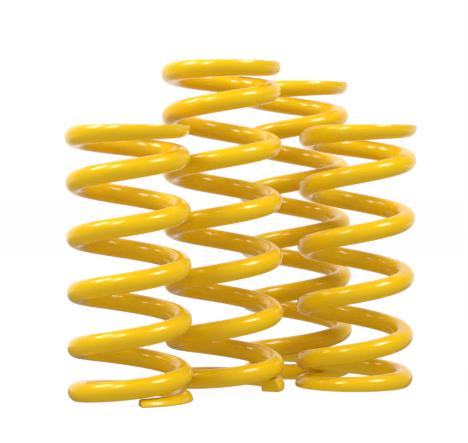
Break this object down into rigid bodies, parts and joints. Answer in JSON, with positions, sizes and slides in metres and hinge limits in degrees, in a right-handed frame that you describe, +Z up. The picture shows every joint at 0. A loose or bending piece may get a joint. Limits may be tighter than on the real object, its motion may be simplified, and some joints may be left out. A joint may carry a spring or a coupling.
{
  "type": "coil spring set",
  "caption": "Set of cylindrical compression coil springs, two short and two tall, right-hand wound in round wire, ends closed and ground flat, powder coated yellow.",
  "frame": {"origin": "middle of the set's footprint, on the plane that the lower ground ends stand on", "axes": "+Z up along the springs' axes, away from the lower seats; +X to the right with the left short spring in front at the left; +Y towards the back"},
  "size_m": [0.2705, 0.2738, 0.2553],
  "materials": {
    "yellow_powder_coat": "gloss yellow powder coat on spring steel"
  },
  "bodies": {
    "root": {"short_left_lower_end_coil": "yellow_powder_coat", "tall_left_lower_end_coil": "yellow_powder_coat", "tall_right_lower_end_coil": "yellow_powder_coat", "short_right_lower_end_coil": "yellow_powder_coat"},
    "short_left_upper_end_coil": {"short_left_upper_end_coil": "yellow_powder_coat"},
    "short_left_active_coil_1": {"short_left_active_coil_1": "yellow_powder_coat"},
    "short_left_active_coil_2": {"short_left_active_coil_2": "yellow_powder_coat"},
    "short_left_active_coil_3": {"short_left_active_coil_3": "yellow_powder_coat"},
    "short_left_active_coil_4": {"short_left_active_coil_4": "yellow_powder_coat"},
    "short_left_active_coil_5": {"short_left_active_coil_5": "yellow_powder_coat"},
    "short_left_active_coil_6": {"short_left_active_coil_6": "yellow_powder_coat"},
    "short_left_active_coil_7": {"short_left_active_coil_7": "yellow_powder_coat"},
    "short_left_active_coil_8": {"short_left_active_coil_8": "yellow_powder_coat"},
    "tall_left_upper_end_coil": {"tall_left_upper_end_coil": "yellow_powder_coat"},
    "tall_left_active_coil_1": {"tall_left_active_coil_1": "yellow_powder_coat"},
    "tall_left_active_coil_2": {"tall_left_active_coil_2": "yellow_powder_coat"},
    "tall_left_active_coil_3": {"tall_left_active_coil_3": "yellow_powder_coat"},
    "tall_left_active_coil_4": {"tall_left_active_coil_4": "yellow_powder_coat"},
    "tall_left_active_coil_5": {"tall_left_active_coil_5": "yellow_powder_coat"},
    "tall_left_active_coil_6": {"tall_left_active_coil_6": "yellow_powder_coat"},
    "tall_left_active_coil_7": {"tall_left_active_coil_7": "yellow_powder_coat"},
    "tall_left_active_coil_8": {"tall_left_active_coil_8": "yellow_powder_coat"},
    "tall_left_active_coil_9": {"tall_left_active_coil_9": "yellow_powder_coat"},
    "tall_left_active_coil_10": {"tall_left_active_coil_10": "yellow_powder_coat"},
    "tall_right_upper_end_coil": {"tall_right_upper_end_coil": "yellow_powder_coat"},
    "tall_right_active_coil_1": {"tall_right_active_coil_1": "yellow_powder_coat"},
    "tall_right_active_coil_2": {"tall_right_active_coil_2": "yellow_powder_coat"},
    "tall_right_active_coil_3": {"tall_right_active_coil_3": "yellow_powder_coat"},
    "tall_right_active_coil_4": {"tall_right_active_coil_4": "yellow_powder_coat"},
    "tall_right_active_coil_5": {"tall_right_active_coil_5": "yellow_powder_coat"},
    "tall_right_active_coil_6": {"tall_right_active_coil_6": "yellow_powder_coat"},
    "tall_right_active_coil_7": {"tall_right_active_coil_7": "yellow_powder_coat"},
    "tall_right_active_coil_8": {"tall_right_active_coil_8": "yellow_powder_coat"},
    "tall_right_active_coil_9": {"tall_right_active_coil_9": "yellow_powder_coat"},
    "short_right_upper_end_coil": {"short_right_upper_end_coil": "yellow_powder_coat"},
    "short_right_active_coil_1": {"short_right_active_coil_1": "yellow_powder_coat"},
    "short_right_active_coil_2": {"short_right_active_coil_2": "yellow_powder_coat"},
    "short_right_active_coil_3": {"short_right_active_coil_3": "yellow_powder_coat"},
    "short_right_active_coil_4": {"short_right_active_coil_4": "yellow_powder_coat"},
    "short_right_active_coil_5": {"short_right_active_coil_5": "yellow_powder_coat"},
    "short_right_active_coil_6": {"short_right_active_coil_6": "yellow_powder_coat"},
    "short_right_active_coil_7": {"short_right_active_coil_7": "yellow_powder_coat"}
  },
  "joints": [
    {"name": "compress_short_left", "type": "slide", "parent": "root", "child": "short_left_upper_end_coil", "axis": [0.0107, 0, -0.9999], "range_m": [0, 0.084], "stiffness_N_per_m": 217000},
    {"name": "drop_short_left_active_coil_1", "type": "slide", "parent": "root", "child": "short_left_active_coil_1", "axis": [0.0107, 0, -0.9999], "range_m": [0, 0.00362]},
    {"name": "drop_short_left_active_coil_2", "type": "slide", "parent": "root", "child": "short_left_active_coil_2", "axis": [0.0107, 0, -0.9999], "range_m": [0, 0.01419]},
    {"name": "drop_short_left_active_coil_3", "type": "slide", "parent": "root", "child": "short_left_active_coil_3", "axis": [0.0107, 0, -0.9999], "range_m": [0, 0.02552]},
    {"name": "drop_short_left_active_coil_4", "type": "slide", "parent": "root", "child": "short_left_active_coil_4", "axis": [0.0107, 0, -0.9999], "range_m": [0, 0.03684]},
    {"name": "drop_short_left_active_coil_5", "type": "slide", "parent": "root", "child": "short_left_active_coil_5", "axis": [0.0107, 0, -0.9999], "range_m": [0, 0.04816]},
    {"name": "drop_short_left_active_coil_6", "type": "slide", "parent": "root", "child": "short_left_active_coil_6", "axis": [0.0107, 0, -0.9999], "range_m": [0, 0.05948]},
    {"name": "drop_short_left_active_coil_7", "type": "slide", "parent": "root", "child": "short_left_active_coil_7", "axis": [0.0107, 0, -0.9999], "range_m": [0, 0.07081]},
    {"name": "drop_short_left_active_coil_8", "type": "slide", "parent": "root", "child": "short_left_active_coil_8", "axis": [0.0107, 0, -0.9999], "range_m": [0, 0.08138]},
    {"name": "compress_tall_left", "type": "slide", "parent": "root", "child": "tall_left_upper_end_coil", "axis": [0.0125, 0, -0.9999], "range_m": [0, 0.112], "stiffness_N_per_m": 186000},
    {"name": "drop_tall_left_active_coil_1", "type": "slide", "parent": "root", "child": "tall_left_active_coil_1", "axis": [0.0125, 0, -0.9999], "range_m": [0, 0.00217]},
    {"name": "drop_tall_left_active_coil_2", "type": "slide", "parent": "root", "child": "tall_left_active_coil_2", "axis": [0.0125, 0, -0.9999], "range_m": [0, 0.01293]},
    {"name": "drop_tall_left_active_coil_3", "type": "slide", "parent": "root", "child": "tall_left_active_coil_3", "axis": [0.0125, 0, -0.9999], "range_m": [0, 0.02538]},
    {"name": "drop_tall_left_active_coil_4", "type": "slide", "parent": "root", "child": "tall_left_active_coil_4", "axis": [0.0125, 0, -0.9999], "range_m": [0, 0.03783]},
    {"name": "drop_tall_left_active_coil_5", "type": "slide", "parent": "root", "child": "tall_left_active_coil_5", "axis": [0.0125, 0, -0.9999], "range_m": [0, 0.05027]},
    {"name": "drop_tall_left_active_coil_6", "type": "slide", "parent": "root", "child": "tall_left_active_coil_6", "axis": [0.0125, 0, -0.9999], "range_m": [0, 0.06273]},
    {"name": "drop_tall_left_active_coil_7", "type": "slide", "parent": "root", "child": "tall_left_active_coil_7", "axis": [0.0125, 0, -0.9999], "range_m": [0, 0.07517]},
    {"name": "drop_tall_left_active_coil_8", "type": "slide", "parent": "root", "child": "tall_left_active_coil_8", "axis": [0.0125, 0, -0.9999], "range_m": [0, 0.08762]},
    {"name": "drop_tall_left_active_coil_9", "type": "slide", "parent": "root", "child": "tall_left_active_coil_9", "axis": [0.0125, 0, -0.9999], "range_m": [0, 0.10007]},
    {"name": "drop_tall_left_active_coil_10", "type": "slide", "parent": "root", "child": "tall_left_active_coil_10", "axis": [0.0125, 0, -0.9999], "range_m": [0, 0.11083]},
    {"name": "compress_tall_right", "type": "slide", "parent": "root", "child": "tall_right_upper_end_coil", "axis": [0.0209, 0, -0.9998], "range_m": [0, 0.108], "stiffness_N_per_m": 198000},
    {"name": "drop_tall_right_active_coil_1", "type": "slide", "parent": "root", "child": "tall_right_active_coil_1", "axis": [0.0209, 0, -0.9998], "range_m": [0, 0.00371]},
    {"name": "drop_tall_right_active_coil_2", "type": "slide", "parent": "root", "child": "tall_right_active_coil_2", "axis": [0.0209, 0, -0.9998], "range_m": [0, 0.01563]},
    {"name": "drop_tall_right_active_coil_3", "type": "slide", "parent": "root", "child": "tall_right_active_coil_3", "axis": [0.0209, 0, -0.9998], "range_m": [0, 0.02859]},
    {"name": "drop_tall_right_active_coil_4", "type": "slide", "parent": "root", "child": "tall_right_active_coil_4", "axis": [0.0209, 0, -0.9998], "range_m": [0, 0.04154]},
    {"name": "drop_tall_right_active_coil_5", "type": "slide", "parent": "root", "child": "tall_right_active_coil_5", "axis": [0.0209, 0, -0.9998], "range_m": [0, 0.0545]},
    {"name": "drop_tall_right_active_coil_6", "type": "slide", "parent": "root", "child": "tall_right_active_coil_6", "axis": [0.0209, 0, -0.9998], "range_m": [0, 0.06746]},
    {"name": "drop_tall_right_active_coil_7", "type": "slide", "parent": "root", "child": "tall_right_active_coil_7", "axis": [0.0209, 0, -0.9998], "range_m": [0, 0.08041]},
    {"name": "drop_tall_right_active_coil_8", "type": "slide", "parent": "root", "child": "tall_right_active_coil_8", "axis": [0.0209, 0, -0.9998], "range_m": [0, 0.09337]},
    {"name": "drop_tall_right_active_coil_9", "type": "slide", "parent": "root", "child": "tall_right_active_coil_9", "axis": [0.0209, 0, -0.9998], "range_m": [0, 0.10529]},
    {"name": "compress_short_right", "type": "slide", "parent": "root", "child": "short_right_upper_end_coil", "axis": [-0.015, 0, -0.9999], "range_m": [0, 0.09], "stiffness_N_per_m": 245000},
    {"name": "drop_short_right_active_coil_1", "type": "slide", "parent": "root", "child": "short_right_active_coil_1", "axis": [-0.015, 0, -0.9999], "range_m": [0, 0.0043]},
    {"name": "drop_short_right_active_coil_2", "type": "slide", "parent": "root", "child": "short_right_active_coil_2", "axis": [-0.015, 0, -0.9999], "range_m": [0, 0.01741]},
    {"name": "drop_short_right_active_coil_3", "type": "slide", "parent": "root", "child": "short_right_active_coil_3", "axis": [-0.015, 0, -0.9999], "range_m": [0, 0.03146]},
    {"name": "drop_short_right_active_coil_4", "type": "slide", "parent": "root", "child": "short_right_active_coil_4", "axis": [-0.015, 0, -0.9999], "range_m": [0, 0.0455]},
    {"name": "drop_short_right_active_coil_5", "type": "slide", "parent": "root", "child": "short_right_active_coil_5", "axis": [-0.015, 0, -0.9999], "range_m": [0, 0.05954]},
    {"name": "drop_short_right_active_coil_6", "type": "slide", "parent": "root", "child": "short_right_active_coil_6", "axis": [-0.015, 0, -0.9999], "range_m": [0, 0.07359]},
    {"name": "drop_short_right_active_coil_7", "type": "slide", "parent": "root", "child": "short_right_active_coil_7", "axis": [-0.015, 0, -0.9999], "range_m": [0, 0.0867]}
  ],
  "couplings": [
    {"joint": "drop_short_left_active_coil_1", "follows": "compress_short_left", "ratio": 0.0372},
    {"joint": "drop_short_left_active_coil_2", "follows": "compress_short_left", "ratio": 0.163},
    {"joint": "drop_short_left_active_coil_3", "follows": "compress_short_left", "ratio": 0.2978},
    {"joint": "drop_short_left_active_coil_4", "follows": "compress_short_left", "ratio": 0.4326},
    {"joint": "drop_short_left_active_coil_5", "follows": "compress_short_left", "ratio": 0.5674},
    {"joint": "drop_short_left_active_coil_6", "follows": "compress_short_left", "ratio": 0.7022},
    {"joint": "drop_short_left_active_coil_7", "follows": "compress_short_left", "ratio": 0.837},
    {"joint": "drop_short_left_active_coil_8", "follows": "compress_short_left", "ratio": 0.9628},
    {"joint": "drop_tall_left_active_coil_1", "follows": "compress_tall_left", "ratio": 0.0149},
    {"joint": "drop_tall_left_active_coil_2", "follows": "compress_tall_left", "ratio": 0.111},
    {"joint": "drop_tall_left_active_coil_3", "follows": "compress_tall_left", "ratio": 0.2221},
    {"joint": "drop_tall_left_active_coil_4", "follows": "compress_tall_left", "ratio": 0.3333},
    {"joint": "drop_tall_left_active_coil_5", "follows": "compress_tall_left", "ratio": 0.4444},
    {"joint": "drop_tall_left_active_coil_6", "follows": "compress_tall_left", "ratio": 0.5556},
    {"joint": "drop_tall_left_active_coil_7", "follows": "compress_tall_left", "ratio": 0.6667},
    {"joint": "drop_tall_left_active_coil_8", "follows": "compress_tall_left", "ratio": 0.7779},
    {"joint": "drop_tall_left_active_coil_9", "follows": "compress_tall_left", "ratio": 0.889},
    {"joint": "drop_tall_left_active_coil_10", "follows": "compress_tall_left", "ratio": 0.9851},
    {"joint": "drop_tall_right_active_coil_1", "follows": "compress_tall_right", "ratio": 0.0297},
    {"joint": "drop_tall_right_active_coil_2", "follows": "compress_tall_right", "ratio": 0.1401},
    {"joint": "drop_tall_right_active_coil_3", "follows": "compress_tall_right", "ratio": 0.2601},
    {"joint": "drop_tall_right_active_coil_4", "follows": "compress_tall_right", "ratio": 0.38},
    {"joint": "drop_tall_right_active_coil_5", "follows": "compress_tall_right", "ratio": 0.5},
    {"joint": "drop_tall_right_active_coil_6", "follows": "compress_tall_right", "ratio": 0.62},
    {"joint": "drop_tall_right_active_coil_7", "follows": "compress_tall_right", "ratio": 0.7399},
    {"joint": "drop_tall_right_active_coil_8", "follows": "compress_tall_right", "ratio": 0.8599},
    {"joint": "drop_tall_right_active_coil_9", "follows": "compress_tall_right", "ratio": 0.9703},
    {"joint": "drop_short_right_active_coil_1", "follows": "compress_short_right", "ratio": 0.0422},
    {"joint": "drop_short_right_active_coil_2", "follows": "compress_short_right", "ratio": 0.1879},
    {"joint": "drop_short_right_active_coil_3", "follows": "compress_short_right", "ratio": 0.344},
    {"joint": "drop_short_right_active_coil_4", "follows": "compress_short_right", "ratio": 0.5},
    {"joint": "drop_short_right_active_coil_5", "follows": "compress_short_right", "ratio": 0.656},
    {"joint": "drop_short_right_active_coil_6", "follows": "compress_short_right", "ratio": 0.8121},
    {"joint": "drop_short_right_active_coil_7", "follows": "compress_short_right", "ratio": 0.9578}
  ]
}
